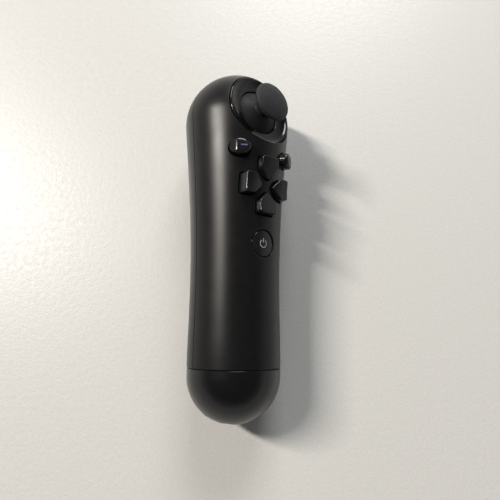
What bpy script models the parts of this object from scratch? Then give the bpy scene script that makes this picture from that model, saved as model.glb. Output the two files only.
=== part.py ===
"""One-hand motion controller: a wand with a thumbstick, direction pad, face buttons, home button and trigger.

Everything is drawn in the wand's own frame, in millimetres: +X is to the right of the front face, +Y runs
from the tail to the stick end along the axis, and +Z comes out of the front. The empty rest_pose lays the wand
on the ground, rolled on to the edge of its trigger.
"""

import math

import bmesh
import bpy
from mathutils import Matrix, Vector

MM = 0.001
WELD = 0.0005  # joins a curve's caps to its sides
ROD_TURN = 0.13  # turns each cylinder a little, so that no edge of it lies in a middle plane

# ---------------------------------------------------------------- driving dimensions, in millimetres
HEAD_R, HEAD_Y = 21.1, 47.9  # the ball at the stick end
TAIL_R, TAIL_Y = 17.6, -51.4  # the dome at the tail: 138 mm from end to end
WALL = 1.8
GAP = 0.3  # between pieces that meet
SEAM_Y = -48.75  # where the tail cap meets the shells
PARTING_Z = -0.65  # where the front shell meets the rear one
SIDES = 36
# the grip's outer radius along the axis, from the tail cap to the head: (y, radius)
GRIP = [(-48.6, 17.62), (-43, 17.65), (-33, 17.48), (-20, 17.36), (-9, 17.46), (0, 17.74),
        (9, 18.18), (18, 18.76), (27, 19.44), (35, 20.08), (43, 20.8)]

STICK_LEAN = math.radians(7.3)  # the stick leans from the front normal towards the head end
DISH_R, DISH_HOLE_R = 14.45, 9.15  # heights around the stick are from the middle of the head
PIVOT_H = 5.0
SKIRT_R = 12.4
STICK_CAP_R, STICK_TOP_H = 7.75, 23.6

PAD_Y = 17.9
PAD_PIVOT_Z = 14.0
# each key runs from its tip to its end, measured from the pad's middle; the two side keys end sooner, because
# they curve away round the grip
KEY_TIP, KEY_END, SIDE_KEY_END, KEY_HALF = 2.3, 10.7, 9.9, 3.85
KEY_PROUD, KEY_GAP = 2.3, 0.35

FACE_Y, FACE_ANGLE = 31.1, math.radians(33)  # the two face buttons stand either side of the front line
FACE_A, FACE_B, FACE_PROUD = 4.0, 3.1, 3.0  # half the oval's length and width

HOME_Y, HOME_R, HOME_SUNK = -3.6, 4.9, 0.3

SHOULDER_LEAN = math.radians(20)
SHOULDER_HALF = (7.0, 4.2)
SHOULDER_PROUD = 1.3

HINGE_Y, HINGE_Z, PIN_R = 39.5, -13.0, 1.1
TRIGGER_HALF, TRIGGER_EDGE_R, TRIGGER_TIP_Y = 6.6, 8.0, 14.4

PORT_Z, PORT_LAND_Y = -0.2, -67.9
# the strap eye's two slots, leaning from the tail to the rear
STRAP_SLOTS = (math.radians(64), math.radians(46))
SHELL_SCREWS = ((-9.5, 7.4), (9.5, 7.4), (0, -43.2))
SCREW_SEAT_Z = -11.9
BOARD_SCREWS = ((-8.6, -14.5), (8.6, -14.5))
BOARD_TOP, PARTS_ON_BOARD = 8.2, 8.5
RESET_Y = 6.2

# ---------------------------------------------------------------- how it lies on the ground
ROLL = math.radians(38.4)  # the front face leans this far towards +X
DROP = math.asin((HEAD_R - TAIL_R) / (HEAD_Y - TAIL_Y))  # the axis slopes down to the thinner tail
AXIS_H = HEAD_R - HEAD_Y * math.sin(DROP)
# the middle of the round of the trigger's edge, placed so that the edge reaches the ground
TRIGGER_EDGE_Z = -(AXIS_H + TRIGGER_TIP_Y * math.sin(DROP) - TRIGGER_EDGE_R) / math.cos(ROLL)
TRIGGER_TIP_Z = TRIGGER_EDGE_Z - TRIGGER_EDGE_R
ORIGIN_SHIFT = (-0.486, -0.158, 0.028)  # puts the origin on the ground under the middle of the bounding box

# ---------------------------------------------------------------- colours: base colour, roughness, metallic
LOOKS = {
    "shell": ((0.022, 0.022, 0.024), 0.45, 0), "polished": ((0.009, 0.009, 0.01), 0.15, 0),
    "satin": ((0.035, 0.035, 0.038), 0.35, 0), "rubber": ((0.05, 0.05, 0.055), 0.8, 0),
    "silicone": ((0.5, 0.5, 0.5), 0.6, 0), "natural": ((0.75, 0.74, 0.7), 0.5, 0),
    "steel": ((0.6, 0.6, 0.62), 0.3, 1), "dark_steel": ((0.15, 0.15, 0.16), 0.4, 1),
    "gold": ((0.8, 0.6, 0.3), 0.3, 1), "board": ((0.02, 0.16, 0.06), 0.5, 0),
    "chip": ((0.015, 0.015, 0.017), 0.5, 0), "frame": ((0.12, 0.12, 0.13), 0.6, 0),
    "cell": ((0.3, 0.32, 0.36), 0.4, 0.6), "red_wire": ((0.6, 0.05, 0.04), 0.6, 0),
    "label": ((0.5, 0.5, 0.52), 0.6, 0),
}

# ---------------------------------------------------------------- scene
for old in list(bpy.data.objects):
    bpy.data.objects.remove(old, do_unlink=True)
model = bpy.data.collections.new("vr_motion_controller")
cutters = bpy.data.collections.new("cutters")
bpy.context.scene.collection.children.link(model)
bpy.context.scene.collection.children.link(cutters)
cutters.hide_render = True

rest_pose = bpy.data.objects.new("rest_pose", None)
model.objects.link(rest_pose)
lift = Vector((ORIGIN_SHIFT[0], ORIGIN_SHIFT[1], AXIS_H + ORIGIN_SHIFT[2])) * MM
rest_turn = Matrix.Rotation(DROP, 4, "X") @ Matrix.Rotation(ROLL, 4, "Y")
rest_pose.matrix_world = Matrix.Translation(lift) @ rest_turn


def frame(origin=(0, 0, 0), z=(0, 0, 1), x=(1, 0, 0)):
    """A local frame: its z along z, and its x as near to x as it can be."""
    z = Vector(z).normalized()
    x = Vector(x)
    x = (x - z * x.dot(z)).normalized()
    turn = Matrix((x, z.cross(x), z)).transposed().to_4x4()
    return Matrix.Translation(origin) @ turn


def direction(where):
    """The frame's z."""
    return where.to_3x3() @ Vector((0, 0, 1))


FRONT = frame()
AXIAL = frame(z=(0, 1, 0))  # a profile here is (radius, y)
SIDE = frame(z=(1, 0, 0), x=(0, 1, 0))  # an outline here is (y, z), raised along x
SECTION = frame(z=(0, -1, 0))  # an outline here is (x, z), raised along -y
STICK = frame((0, HEAD_Y, 0), (0, math.sin(STICK_LEAN), math.cos(STICK_LEAN)))
STICK_PIVOT = STICK @ Vector((0, 0, PIVOT_H))
SHOULDER = frame((0, HEAD_Y, 0), (0, math.sin(SHOULDER_LEAN), -math.cos(SHOULDER_LEAN)))
PORT = frame((0, 0, PORT_Z), (0, -1, 0))
HINGE = frame((0, HINGE_Y, HINGE_Z), (1, 0, 0), (0, 1, 0))


def face_frame(side):
    """The frame of a face button: side is -1 on the left and 1 on the right."""
    return frame((0, FACE_Y, 0), (side * math.sin(FACE_ANGLE), 0, math.cos(FACE_ANGLE)), (side, 0, 0))


def tail_frame(lean, side=0.0):
    """A frame out of the tail dome, leaning from the tail end to the rear, and side millimetres across."""
    reach = math.sqrt(TAIL_R ** 2 - side ** 2)
    return frame((0, TAIL_Y, 0), (side, -reach * math.cos(lean), -reach * math.sin(lean)), (1, 0, 0))


# ---------------------------------------------------------------- shapes
# each is (mesh, its frame, the number of sides to turn a profile through, or 0)
def box(low, high, where=FRONT):
    mesh = bmesh.new()
    low, high = Vector(low), Vector(high)
    place = Matrix.Translation((low + high) / 2) @ Matrix.Diagonal((*(high - low), 1))
    bmesh.ops.create_cube(mesh, size=1, matrix=place)
    return mesh, where, 0


def rod(r, low, high, where=FRONT, at=(0, 0), sides=20):
    """A cylinder along the frame's z."""
    mesh = bmesh.new()
    place = Matrix.Translation((*at, (low + high) / 2)) @ Matrix.Rotation(ROD_TURN, 4, "Z")
    bmesh.ops.create_cone(
        mesh, cap_ends=True, segments=sides, radius1=r, radius2=r, depth=high - low, matrix=place)
    return mesh, where, 0


def slab(outlines, low, high, where=FRONT):
    """A filled flat curve of one outline, or of several that don't meet, extruded from low to high."""
    curve = bpy.data.curves.new("outline", "CURVE")
    curve.dimensions = "2D"
    curve.fill_mode = "BOTH"
    curve.extrude = (high - low) / 2
    for outline in outlines if isinstance(outlines[0], list) else [outlines]:
        spline = curve.splines.new("POLY")
        spline.use_cyclic_u = True
        spline.points.add(len(outline) - 1)
        for point, (x, y) in zip(spline.points, outline):
            point.co = (x, y, 0, 1)
    drawn = bpy.data.objects.new("outline", curve)
    solid = bpy.data.meshes.new_from_object(drawn)
    mesh = bmesh.new()
    mesh.from_mesh(solid)
    bmesh.ops.remove_doubles(mesh, verts=mesh.verts, dist=WELD)
    bmesh.ops.translate(mesh, verts=mesh.verts, vec=(0, 0, (low + high) / 2))
    bmesh.ops.recalc_face_normals(mesh, faces=mesh.faces)
    bpy.data.meshes.remove(solid)
    bpy.data.objects.remove(drawn)
    bpy.data.curves.remove(curve)
    return mesh, where, 0


def turned(profile, where=AXIAL, sides=SIDES):
    """A (radius, height) profile round the frame's z: a closed loop, or a line from the axis to the axis."""
    closed = profile[0][0] > 0
    area = sum(a[0] * b[1] - b[0] * a[1] for a, b in zip(profile, profile[1:] + profile[:1]))
    if area > 0:
        profile = profile[::-1]
    mesh = bmesh.new()
    points = [mesh.verts.new((r, 0, h)) for r, h in profile]
    for a, b in zip(points, points[1:]):
        mesh.edges.new((a, b))
    if closed:
        mesh.edges.new((points[-1], points[0]))
    return mesh, where, sides


def rounded(corners, r, steps=3):
    """The outline with each corner rounded off, r being how far back the round starts."""
    out = []
    for i, corner in enumerate(corners):
        corner = Vector(corner)
        start = corner + (Vector(corners[i - 1]) - corner).normalized() * r
        end = corner + (Vector(corners[(i + 1) % len(corners)]) - corner).normalized() * r
        for k in range(steps + 1):
            t = k / steps
            out.append(tuple(start * (1 - t) ** 2 + corner * (2 * t * (1 - t)) + end * t * t))
    return out


def rectangle(half_x, half_y, r=0.0, steps=3):
    corners = [(-half_x, -half_y), (half_x, -half_y), (half_x, half_y), (-half_x, half_y)]
    return rounded(corners, r, steps) if r else corners


def arc(r, centre, start, end, steps):
    """Points on an arc, angles in degrees from the outline's x."""
    angles = [math.radians(start + (end - start) * k / steps) for k in range(steps + 1)]
    return [(centre[0] + r * math.cos(a), centre[1] + r * math.sin(a)) for a in angles]


def ball(r, steps=8, middle=0.0):
    """A sphere's profile."""
    inner = arc(r, (0, middle), 90, -90, steps)[1:-1]
    return [(0, middle + r), *inner, (0, middle - r)]


def squashed(where, a, b):
    """The frame stretched across, so that a circle of radius 1 becomes an oval."""
    return where @ Matrix.Diagonal((a, b, 1, 1))


# ---------------------------------------------------------------- objects
def pivot(name, place):
    """An empty on a joint's axis; the moving pieces hang on it."""
    empty = bpy.data.objects.new(name, None)
    model.objects.link(empty)
    empty.parent = rest_pose
    empty.location = Vector(place) * MM
    return empty


def material(name, look):
    colour, roughness, metallic = LOOKS[look]
    made = bpy.data.materials.new(name)
    made.use_nodes = True
    shader = made.node_tree.nodes["Principled BSDF"]
    shader.inputs["Base Color"].default_value = (*colour, 1)
    shader.inputs["Roughness"].default_value = roughness
    shader.inputs["Metallic"].default_value = metallic
    made.diffuse_color = (*colour, 1)
    return made


def add_object(name, shape, collection, at):
    mesh, where, sides = shape
    bmesh.ops.scale(mesh, vec=(MM, MM, MM), verts=mesh.verts)
    data = bpy.data.meshes.new(name)
    mesh.to_mesh(data)
    mesh.free()
    data.shade_smooth()
    data.set_sharp_from_angle(angle=math.radians(35))
    made = bpy.data.objects.new(name, data)
    collection.objects.link(made)
    made.parent = at or rest_pose
    local = where.copy()
    local.translation = where.translation * MM - (at.location if at else Vector())
    made.matrix_local = local
    if sides:
        screw = made.modifiers.new("turn", "SCREW")
        screw.steps = screw.render_steps = sides
        screw.use_merge_vertices = True
        screw.merge_threshold = 0.00001
    return made


def piece(name, look, shape, at=None):
    """A node of the model. at is the pivot that it moves on."""
    made = add_object(name, shape, model, at)
    made.data.materials.append(material(name, look))
    return made


def cutter(name, shape, at=None):
    made = add_object(name, shape, cutters, at)
    made.hide_render = True
    made.display_type = "WIRE"
    return made


def boolean(target, name, shape, how="DIFFERENCE", at=None):
    """Cuts the shape from the target, or joins or intersects the two. Returns the hidden cutter."""
    tool = cutter(f"{target.name}_{name}", shape, at)
    modifier = target.modifiers.new(name, "BOOLEAN")
    modifier.operation = how
    modifier.solver = "EXACT"
    modifier.object = tool
    return tool


def wire(name, look, points, r, resolution=2):
    """A round wire through the points."""
    curve = bpy.data.curves.new(name, "CURVE")
    curve.dimensions = "3D"
    curve.bevel_depth = r * MM
    curve.bevel_resolution = resolution
    curve.use_fill_caps = True
    spline = curve.splines.new("POLY")
    spline.points.add(len(points) - 1)
    for point, place in zip(spline.points, points):
        point.co = (*(Vector(place) * MM), 1)
    curve.materials.append(material(name, look))
    made = bpy.data.objects.new(name, curve)
    model.objects.link(made)
    made.parent = rest_pose


def smooth_path(points, steps=4):
    """Points on a smooth curve (Catmull-Rom) through the given ones."""
    p = [Vector(points[0]), *map(Vector, points), Vector(points[-1])]
    out = []
    for a, b, c, d in zip(p, p[1:], p[2:], p[3:]):
        for k in range(steps):
            t = k / steps
            bend = (2 * a - 5 * b + 4 * c - d) * t * t + (3 * b - a - 3 * c + d) * t ** 3
            out.append(b + 0.5 * ((c - a) * t + bend))
    out.append(p[-1])
    return out


# ---------------------------------------------------------------- the outer form
def grip_r(y):
    """The grip's outer radius at y, on the straight runs between its stations."""
    for (y0, r0), (y1, r1) in zip(GRIP, GRIP[1:]):
        if y0 <= y <= y1:
            return r0 + (r1 - r0) * (y - y0) / (y1 - y0)
    raise ValueError(f"no grip at y = {y}")


def grip_band(start, end, inner, outer):
    """A ring that follows the grip from start to end, between two offsets from its surface."""
    stations = [start, *(y for y, _ in GRIP if start < y < end), end]
    out = [(grip_r(y) + outer, y) for y in stations]
    return turned(out + [(grip_r(y) + inner, y) for y in reversed(stations)])


def hollow_grip():
    """Both shells as one: the grip and the ball, from the seam to the pole, with the wall inside."""
    def skin(stations, offset, steps):
        head = arc(HEAD_R + offset, (0, HEAD_Y), 4, 90, steps)[:-1]
        return [(r + offset, y) for y, r in stations] + head + [(0, HEAD_Y + HEAD_R + offset)]

    outer = skin(GRIP, 0, 8)
    inner = skin(GRIP[::2], -WALL, 5)
    # the profile starts on the axis at the outer pole and ends on it at the inner one
    return turned(outer[::-1] + inner)


def key_outline(quarter, grow=0.0, r=1.0):
    """A house-shaped key pointing at the pad's middle, turned by quarters anticlockwise from the top one."""
    tip, half = KEY_TIP - grow * math.sqrt(2), KEY_HALF + grow
    end = (SIDE_KEY_END if quarter % 2 else KEY_END) + grow
    corners = [(0, tip), (half, tip + half), (half, end), (-half, end), (-half, tip + half)]
    turn = Matrix.Rotation(quarter * math.pi / 2, 2)
    return [tuple(turn @ Vector(point) + Vector((0, PAD_Y))) for point in rounded(corners, r)]


def front_shell():
    shell = piece("front_shell", "shell", hollow_grip())
    boolean(shell, "rear_half", box((-40, -80, -60), (40, 80, PARTING_Z + GAP / 2)))
    boolean(shell, "stick_opening", rod(DISH_R + GAP, 9, 40, STICK, sides=SIDES))
    for quarter in range(4):
        boolean(shell, f"key_hole_{quarter}", slab(key_outline(quarter, KEY_GAP), 8, 30))
    for side in (-1, 1):
        hole = squashed(face_frame(side), FACE_A + GAP, FACE_B + GAP)
        boolean(shell, f"face_hole_{side}", rod(1, 12, 30, hole, sides=28))
    boolean(shell, "home_hole", rod(HOME_R + GAP, 8, 30, at=(0, HOME_Y), sides=32))


def rear_shell():
    shell = piece("rear_shell", "shell", hollow_grip())
    boolean(shell, "front_half", box((-40, -80, PARTING_Z - GAP / 2), (40, 80, 60)))
    for k, place in enumerate(SHELL_SCREWS):
        inside_wall = 1.0 - math.sqrt(grip_r(place[1]) ** 2 - place[0] ** 2)
        boolean(shell, f"boss_{k}", rod(2.9, inside_wall, -9.4, at=place), "UNION")
        boolean(shell, f"screw_hole_{k}", rod(1.15, -30, -5, at=place, sides=16))
        boolean(shell, f"counterbore_{k}", rod(2.15, -30, SCREW_SEAT_Z, at=place))
    half = TRIGGER_HALF + 0.4
    boolean(shell, "trigger_opening", box((-half, 11.7, -40), (half, 43.2, -8)))
    opening = rectangle(*(half + GAP for half in SHOULDER_HALF), 2.2)
    boolean(shell, "shoulder_opening", slab(opening, 12, 30, SHOULDER))
    boolean(shell, "reset_hole", rod(1.1, -30, -10, at=(0, RESET_Y), sides=16))
    recess = boolean(shell, "label_recess", grip_band(-38, -6, -0.45, 1))
    boolean(recess, "outline", label_outline(GAP), "INTERSECT")


def label_outline(grow=0.0):
    return slab(rectangle(7.6 + grow, 14 + grow, 1.6), -30, -10, frame((0, -22, 0)))


def rating_label():
    label = piece("rating_label", "label", grip_band(-38, -6, -0.3, -0.1))
    boolean(label, "outline", label_outline(), "INTERSECT")


def tail_cap():
    seam = SEAM_Y - GAP / 2
    outer = [(0, TAIL_Y - TAIL_R), *arc(TAIL_R, (0, TAIL_Y), -90, 0, 8)[1:], (TAIL_R + 0.02, seam)]
    spigot = [(15.45, seam), (15.45, -45), (14.25, -45), (14.25, -50.5)]
    ball_r = TAIL_R - WALL
    inner = [*arc(ball_r, (0, TAIL_Y), 0, -90, 5)[:-1], (0, TAIL_Y - ball_r)]
    cap = piece("tail_cap", "polished", turned(outer + spigot + inner))
    boolean(cap, "port_land", slab(rectangle(5.6, 3.9, 1.8), -PORT_LAND_Y, 80, PORT))
    boolean(cap, "port_hole", slab(rectangle(4.3, 2.45, 0.6), 60, 80, PORT))
    for side in (-1, 1):
        boolean(cap, f"contact_hole_{side}", slab(rectangle(1.9, 0.9, 0.5), 10, 30, contact_frame(side)))
    for k, lean in enumerate(STRAP_SLOTS):
        boolean(cap, f"strap_slot_{k}", slab(rectangle(2.2, 1.5, 1.0), 8, 30, tail_frame(lean)))
    boolean(cap, "boss_notch", box((-3.3, -46.6, -18), (3.3, -44, -8)))


def contact_frame(side):
    return tail_frame(math.radians(10), side * 9.7)


# ---------------------------------------------------------------- thumbstick
def stick_dish():
    lip = [(14.45, 14.95), (14.3, 15.3), (13.95, 15.45), (13.5, 15.35), (12.9, 14.95)]
    dish = [(11.8, 14.55), (10.4, 14.3), (DISH_HOLE_R, 14.15), (DISH_HOLE_R, 13.9)]
    under = [(10.6, 13.35), (12.2, 12.4), (DISH_R, 12.3)]
    piece("stick_bezel", "polished", turned(lip + dish + under, STICK))


def stick_module():
    """The box in the head that the stick turns in, with a sensor for each of its two axes."""
    where = frame(STICK_PIVOT, direction(STICK))
    across = frame(STICK_PIVOT, (1, 0, 0), (0, 1, 0))
    along = frame(STICK_PIVOT, STICK.to_3x3() @ Vector((0, 1, 0)))
    housing = piece("stick_module_housing", "steel", box((-6.8, -6.8, -5.2), (6.8, 6.8, 3.4), where))
    boolean(housing, "cavity", box((-6.1, -6.1, -4.5), (6.1, 6.1, 9), where))
    boolean(housing, "pin_holes", rod(0.8, -9, 9, across))
    piece("stick_click_switch", "steel", rod(1.6, -4.3, -3.85, where))
    piece("stick_sensor_tilt", "frame", box((7.1, -4.2, -4.4), (9.2, 4.2, 2.8), where))
    piece("stick_sensor_swing", "frame", box((-4.2, 7.1, -4.4), (4.2, 9.2, 2.8), where))
    piece("stick_board", "board", box((-11, -10.5, -6.7), (11, 10.5, -5.6), where))

    tilt = pivot("stick_tilt_axis", STICK_PIVOT)
    yoke = piece("stick_yoke", "natural", box((-5.2, -5.0, -1.3), (5.2, 5.0, 1.3), where), tilt)
    boolean(yoke, "window", box((-3.7, -3.4, -4), (3.7, 3.4, 4), where), at=tilt)
    for k, (start, end) in enumerate(((-6.75, -4.6), (4.6, 6.75))):
        boolean(yoke, f"pin_{k}", rod(0.72, start, end, across, sides=16), "UNION", tilt)
    boolean(yoke, "cross_holes", rod(0.7, -9, 9, along), at=tilt)

    swing = pivot("stick_swing_axis", STICK_PIVOT)
    block = piece("stick_pivot_block", "natural", box((-2.6, -2.5, -1.5), (2.6, 2.5, 1.5), where), swing)
    for k, (start, end) in enumerate(((-4.7, -2.0), (2.0, 4.7))):
        boolean(block, f"pin_{k}", rod(0.62, start, end, along, sides=16), "UNION", swing)
    boolean(block, "socket", box((-1.3, -1.3, -5), (1.3, 1.3, 5), where), at=swing)


def thumbstick():
    """The skirt, neck and stem in one moulding, and the rubber cap on it."""
    where = frame(STICK_PIVOT, direction(STICK))
    click = pivot("stick_click_axis", STICK_PIVOT)
    top = STICK_TOP_H - PIVOT_H
    neck = [(0, top - 1.6), (2.6, top - 1.6), (2.6, 12.6)]
    skirt = arc(SKIRT_R, (0, 0), 70, 28, 5) + arc(SKIRT_R - 1.1, (0, 0), 28, 79, 5)
    core = piece("thumbstick_core", "satin", turned(neck + skirt + [(2.2, 9.6), (0, 9.6)], where, 24), click)
    boolean(core, "stem", box((-1.12, -1.12, -2.9), (1.12, 1.12, 10.4), where), "UNION", click)
    neck_hole = [(0, top - 1.3), (2.9, top - 1.3), (2.9, top - 2.9)]
    under = [(4.6, top - 2.8), (7.1, top - 2.1)]
    edge = arc(1.0, (STICK_CAP_R - 1.0, top - 1.0), -40, 70, 4)
    crown = [(4.6, top + 0.6), (2.4, top + 0.95), (0, top + 1.05)]
    piece("thumbstick_cap", "rubber", turned(neck_hole + under + edge + crown, where, 28), click)


# ---------------------------------------------------------------- direction pad
def direction_pad():
    rock = pivot("direction_pad_axis", (0, PAD_Y, PAD_PIVOT_Z))
    plate = turned([(14.4, PAD_Y - 14), (15.8, PAD_Y - 14), (15.8, PAD_Y + 14), (14.4, PAD_Y + 14)])
    pad = piece("direction_pad", "satin", plate, rock)
    arm, up, out = 3.1, KEY_END + 0.2, SIDE_KEY_END + 0.3
    wide = 3.9
    cross = [(arm, up), (-arm, up), (-arm, wide), (-out, wide), (-out, -wide), (-arm, -wide),
             (-arm, -up), (arm, -up), (arm, -wide), (out, -wide), (out, wide), (arm, wide)]
    boolean(pad, "cross", slab([(x, y + PAD_Y) for x, y in cross], 5, 30), "INTERSECT", rock)
    boolean(pad, "hub", rod(2.4, 13.5, 15.2, at=(0, PAD_Y)), "UNION", rock)
    for quarter in range(4):
        sideways = quarter % 2
        outline = key_outline(quarter, -0.6, 0.6)
        low, high = (11.4, 15.6) if sideways else (14.7, 18.0)
        boolean(pad, f"stem_{quarter}", slab(outline, low, high), "UNION", rock)
    keys = boolean(pad, "keys", grip_band(4, 31.5, -1.9, KEY_PROUD), "UNION", rock)
    boolean(keys, "outlines", slab([key_outline(quarter) for quarter in range(4)], 9, 26), "INTERSECT", rock)

    centre = frame((0, PAD_Y, PAD_PIVOT_Z))
    boolean(pad, "socket", turned(ball(1.45), centre, 20), at=rock)
    tilt = pivot("direction_pad_tilt_axis", (0, PAD_Y, PAD_PIVOT_Z))
    piece("dpad_pivot_ball", "steel", turned(ball(1.26), centre, 20), tilt)
    post = piece("dpad_pivot_post", "natural", rod(1.15, PARTS_ON_BOARD, 13.25, at=(0, PAD_Y)))
    boolean(post, "cup", turned(ball(1.38), centre, 20))


# ---------------------------------------------------------------- buttons
def face_buttons():
    surface = grip_r(FACE_Y)
    for side, name in ((-1, "left"), (1, "right")):
        where = face_frame(side)
        press = pivot(f"{name}_button_axis", where @ Vector((0, 0, surface)))
        crown = surface + FACE_PROUD
        profile = [(0, crown), (0.45, crown), (0.76, crown - 0.15), (0.93, crown - 0.55), (1, crown - 1.15),
                   (1, 16.1), (0, 16.1)]
        button = piece(f"{name}_button", "satin", turned(profile, squashed(where, FACE_A, FACE_B), 28), press)
        outer_end = where @ Vector((FACE_A, 0, surface + 0.9))
        slope = frame(outer_end, where.to_3x3() @ Vector((0.62, 0, 0.78)))
        boolean(button, "outer_facet", box((-9, -9, 0), (9, 9, 9), slope), at=press)
        flange = squashed(where @ Matrix.Translation((0.6, 0, 0)), 4.9, 3.85)
        boolean(button, "flange", rod(1, 15.75, 16.45, flange, sides=24), "UNION", press)
        boolean(button, "stem", rod(1, 14.3, 16.2, squashed(where, 2.6, 2.2), sides=16), "UNION", press)
        dome = [(0, 13.1), (1.6, 13.1), (1.8, 12.4), (0, 12.4)]
        piece(f"{name}_button_dome", "silicone", turned(dome, where, 20))


def home_button():
    press = pivot("home_button_axis", (0, HOME_Y, grip_r(HOME_Y)))
    button = piece("home_button", "satin", rod(HOME_R, 13.4, 20, at=(0, HOME_Y), sides=32), press)
    top_r = grip_r(HOME_Y) - HOME_SUNK
    top = [(0, HOME_Y + 8), (top_r, HOME_Y + 8), (top_r, HOME_Y - 8), (0, HOME_Y - 8)]
    boolean(button, "top", turned(top, sides=64), "INTERSECT", press)
    boolean(button, "flange", rod(5.7, 13.3, 14.0, at=(0, HOME_Y), sides=32), "UNION", press)
    switch = piece("home_switch", "chip", box((-3, HOME_Y - 3, PARTS_ON_BOARD), (3, HOME_Y + 3, 11.6)))
    boolean(switch, "plunger", rod(1.6, 11, 12.4, at=(0, HOME_Y), sides=16), "UNION")


def shoulder_button():
    press = pivot("shoulder_button_axis", SHOULDER @ Vector((0, 0, HEAD_R)))
    outline = rectangle(*SHOULDER_HALF, 2.0)
    button = piece("shoulder_button", "satin", slab(outline, 16.2, 30, SHOULDER), press)
    curve = turned(ball(HEAD_R + SHOULDER_PROUD, 14), frame((0, HEAD_Y, 0)))
    boolean(button, "curve", curve, "INTERSECT", press)
    boolean(button, "flange", slab(rectangle(7.6, 4.8, 2.2), 15.6, 16.5, SHOULDER), "UNION", press)
    boolean(button, "stem", rod(1.6, 13.9, 15.9, SHOULDER, sides=16), "UNION", press)
    piece("rear_board", "board", box((-8, 43.5, -8.2), (8, 59, -7.1)))
    piece("shoulder_switch", "chip", box((-3, 50.4, -11.2), (3, 54.4, -8.5)))


def reset_button():
    press = pivot("reset_button_axis", (0, RESET_Y, -16.9))
    stem, flange = 0.8, 1.7
    profile = [(0, -9.9), (stem, -9.9), (stem, -11.6), (flange, -11.6), (flange, -12.6), (stem, -12.6),
               (stem, -16.9), (0, -16.9)]
    piece("reset_button", "satin", turned(profile, frame((0, RESET_Y, 0)), 16), press)
    piece("reset_switch", "chip", box((-1.8, RESET_Y - 1.8, -9.3), (1.8, RESET_Y + 1.8, -6.3)))


# ---------------------------------------------------------------- trigger
def trigger():
    pull = pivot("trigger_axis", (0, HINGE_Y, HINGE_Z))
    tip = TRIGGER_TIP_Z
    barrel = [(42.4, -13.0), (41.6, -10.9), (39.5, -10.1), (37.4, -10.9), (36.4, -12.4)]
    inner = [(30, -13.4), (22, -14.2), (16.2, -14.8), (15.2, -18.0), (13.5, -20.2)]
    edge = [(13.0, tip + 1.1), (13.5, tip + 0.25), (TRIGGER_TIP_Y, tip), (15.4, tip + 0.2), (17.5, tip + 1.3)]
    finger = [(21, tip + 2.4), (26, tip + 2.9), (31, tip + 2.6), (36, tip + 2.2), (40, tip + 2.25)]
    heel = [(42.2, tip + 2.9), (42.5, -17)]
    outline = barrel + inner + edge + finger + heel
    lever = piece("trigger", "satin", slab(outline, -TRIGGER_HALF, TRIGGER_HALF, SIDE), pull)
    spread = math.degrees(math.asin(TRIGGER_HALF / TRIGGER_EDGE_R))
    rounded_edge = arc(TRIGGER_EDGE_R, (0, TRIGGER_EDGE_Z), -90 - spread, -90 + spread, 14)
    section = rounded_edge + [(TRIGGER_HALF, -5), (-TRIGGER_HALF, -5)]
    boolean(lever, "rounded_edge", slab(section, -60, 0, SECTION), "INTERSECT", pull)
    boolean(lever, "bore", rod(PIN_R + 0.08, -12, 12, HINGE, sides=24), at=pull)
    boolean(lever, "spring_slot", box((-2.7, 31, -16.6), (2.7, 46, -5)), at=pull)


def trigger_mount():
    piece("trigger_hinge_pin", "steel", rod(PIN_R, -8.9, 8.9, HINGE, sides=24))
    base = piece("trigger_bracket", "frame", box((-8.9, 3.6, -6.0), (8.9, 43.2, -4.8)))
    cheek = [(36.8, -15.0), (42.2, -15.0), (43.0, -5.4), (35.6, -5.4)]
    for k, (start, end) in enumerate(((-8.9, -7.5), (7.5, 8.9))):
        boolean(base, f"cheek_{k}", slab(cheek, start, end, SIDE), "UNION")
    boolean(base, "pin_holes", rod(PIN_R + 0.06, -12, 12, HINGE, sides=24))
    for k, place in enumerate(SHELL_SCREWS[:2]):
        boolean(base, f"pillar_hole_{k}", rod(3.2, -10, 0, at=place))
    stop = [(0, -6.3), (2.9, -6.3), (2.2, -9.6), (0, -9.6)]
    piece("trigger_stop_pad", "rubber", turned(stop, frame((0, 24, 0)), 20))

    turns, per_turn, coil_r, half = 4, 8, 1.85, 1.9
    coil = []
    for k in range(turns * per_turn + 1):
        a = 2 * math.pi * k / per_turn
        across = half * (2 * k / (turns * per_turn) - 1)
        coil.append((across, HINGE_Y + coil_r * math.cos(a), HINGE_Z + coil_r * math.sin(a)))
    fixed_leg = [(-half, HINGE_Y + 1.9, HINGE_Z + 6.2)]
    moving_leg = [(1.95, HINGE_Y + 1.6, HINGE_Z - 0.9), (2.0, HINGE_Y - 2.6, HINGE_Z - 2.6),
                  (2.0, 32.4, HINGE_Z - 0.6)]
    wire("trigger_return_spring", "steel", fixed_leg + coil + moving_leg, 0.26, 1)


# ---------------------------------------------------------------- inside the grip
def screw(name, look, place, tip, seat, head_z, shaft_r, head_r):
    """A cross-head screw along z. Its head runs from seat to head_z and its shaft to tip."""
    out = 1 if head_z > seat else -1
    profile = [(0, tip), (shaft_r, tip), (shaft_r, seat), (head_r, seat), (head_r, head_z), (0, head_z)]
    made = piece(name, look, turned(profile, frame((*place, 0)), 16))
    slot_z = sorted((head_z - 0.6 * out, head_z + out))
    for k, (a, b) in enumerate(((1.05, 0.24), (0.24, 1.05))):
        boolean(made, f"slot_{k}", box((-a, -b, slot_z[0]), (a, b, slot_z[1]), frame((*place, 0))))


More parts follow.
